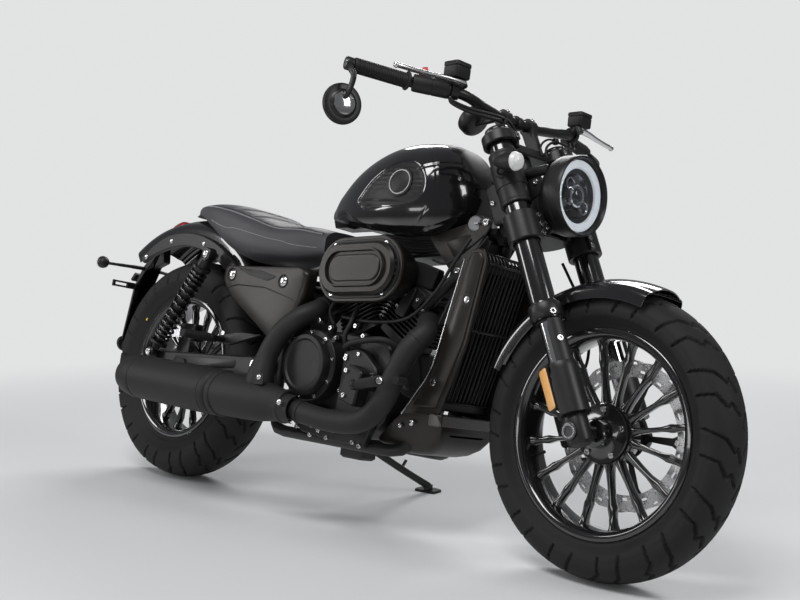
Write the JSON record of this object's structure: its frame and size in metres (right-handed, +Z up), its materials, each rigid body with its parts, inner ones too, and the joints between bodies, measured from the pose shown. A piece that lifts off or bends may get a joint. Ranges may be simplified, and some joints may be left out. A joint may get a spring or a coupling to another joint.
{
  "type": "cruiser motorcycle",
  "caption": "Low black cruiser motorcycle on its side stand, with a V-twin engine, teardrop tank, stepped seat and round headlight; wheels turn and the handlebar steers.",
  "frame": {"origin": "centre of the overall box, on the floor", "axes": "+X forward along the bike, +Y to the rider's left, +Z up from the floor; the bike leans towards +Y on its side stand"},
  "size_m": [2.1146, 0.9362, 1.0883],
  "materials": {
    "gloss_black": "gloss clear coat over black",
    "frame_black": "satin black paint",
    "engine_black": "matte black heat paint",
    "exhaust_black": "matte black heat paint",
    "warm_black": "satin warm black",
    "black_plastic": "fine grain black",
    "seat_leather": "charcoal grained leather",
    "black_rubber": "matte",
    "tyre_rubber": "matte tread rubber",
    "machined_steel": "fine machined",
    "dark_steel": "oiled",
    "radiator_black": "black painted fins",
    "red_lens": "moulded lens",
    "clear_lens": "clear moulded lens"
  },
  "bodies": {
    "chassis": {"frame": "frame_black", "steering_head": "frame_black", "swingarm": "frame_black", "crankcase": "engine_black", "engine_covers": "engine_black", "front_cylinder": "engine_black", "rear_cylinder": "engine_black", "air_cleaner": "warm_black", "fuel_tank": "gloss_black", "seat": "seat_leather", "rear_fender": "black_plastic", "fender_rails": "frame_black", "side_covers": "warm_black", "battery_box": "black_plastic", "rear_shocks": "frame_black", "shock_springs": "frame_black", "exhaust_headers": "exhaust_black", "muffler": "exhaust_black", "radiator": "radiator_black", "radiator_cowl": "warm_black", "foot_controls": "frame_black", "passenger_pegs": "frame_black", "rear_lights": "red_lens", "plate_bracket": "black_plastic", "drive_chain": "dark_steel", "rear_axle": "machined_steel", "rear_caliper": "frame_black", "stand_bracket": "frame_black"},
    "side_stand": {"side_stand": "frame_black"},
    "steering": {"fork_clamps": "frame_black", "fork_tubes": "gloss_black", "fork_sliders": "dark_steel", "fork_shrouds": "frame_black", "front_axle": "machined_steel", "front_fender": "gloss_black", "front_caliper": "frame_black", "headlight_shell": "black_plastic", "headlight_lens": "clear_lens", "handlebar": "frame_black", "grips": "black_rubber", "hand_controls": "black_plastic", "mirrors": "black_plastic", "front_indicators": "clear_lens", "instrument": "black_plastic", "control_cables": "black_rubber"},
    "front_wheel": {"front_tyre": "tyre_rubber", "front_rim": "gloss_black", "front_disc": "machined_steel"},
    "rear_wheel": {"rear_tyre": "tyre_rubber", "rear_rim": "gloss_black", "rear_disc": "machined_steel", "rear_sprocket": "dark_steel"}
  },
  "joints": [
    {"name": "steering", "type": "hinge", "parent": "chassis", "child": "steering", "pos_m": [0.48813, -0.03543, 0.75202], "axis": [-0.4352, 0.1795, 0.8822], "range_deg": [-31.5, 38.5]},
    {"name": "front_wheel_spin", "type": "hinge", "parent": "steering", "child": "front_wheel", "pos_m": [0.75793, -0.13061, 0.29661], "axis": [0.055, 0.9834, -0.173], "continuous": true},
    {"name": "rear_wheel_spin", "type": "hinge", "parent": "chassis", "child": "rear_wheel", "pos_m": [-0.662, -0.1252, 0.31078], "axis": [0, 0.9799, -0.1994], "continuous": true},
    {"name": "side_stand_fold", "type": "hinge", "parent": "chassis", "child": "side_stand", "pos_m": [-0.032, -0.02182, 0.14178], "axis": [0.0098, 0.5593, 0.8289], "range_deg": [0, 88]}
  ]
}
